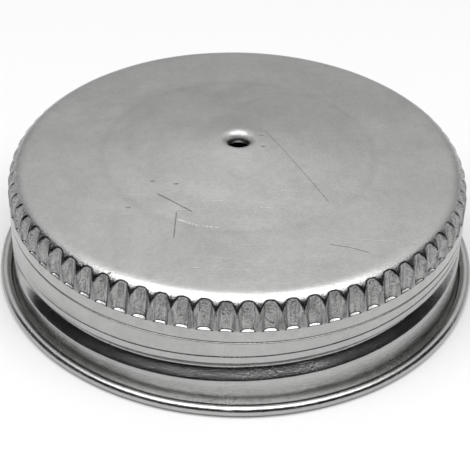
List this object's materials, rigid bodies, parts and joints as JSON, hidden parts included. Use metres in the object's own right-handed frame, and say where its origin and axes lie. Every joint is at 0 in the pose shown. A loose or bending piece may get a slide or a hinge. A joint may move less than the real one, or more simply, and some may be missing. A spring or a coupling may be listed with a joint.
{
  "type": "fuel cap",
  "caption": "round vented screw cap pressed from sheet steel, with a domed top, a grip band of flutes, a rolled thread and a curled rim",
  "frame": {"origin": "centre of the cap's axis at the level of the lowest point of the curled rim", "axes": "+Z is the cap's axis and points out of the domed top; -Y is the side towards the camera; +X is to the camera's right"},
  "size_m": [0.057, 0.057, 0.0171],
  "materials": {
    "tinned_steel": "dull tinned sheet, satin and lightly scratched",
    "gasket_rubber": "matt moulded rubber",
    "baffle_steel": "plain tinned sheet"
  },
  "bodies": {
    "root": {"cap_shell": "tinned_steel", "gasket": "gasket_rubber", "baffle_plate": "baffle_steel"}
  },
  "joints": []
}
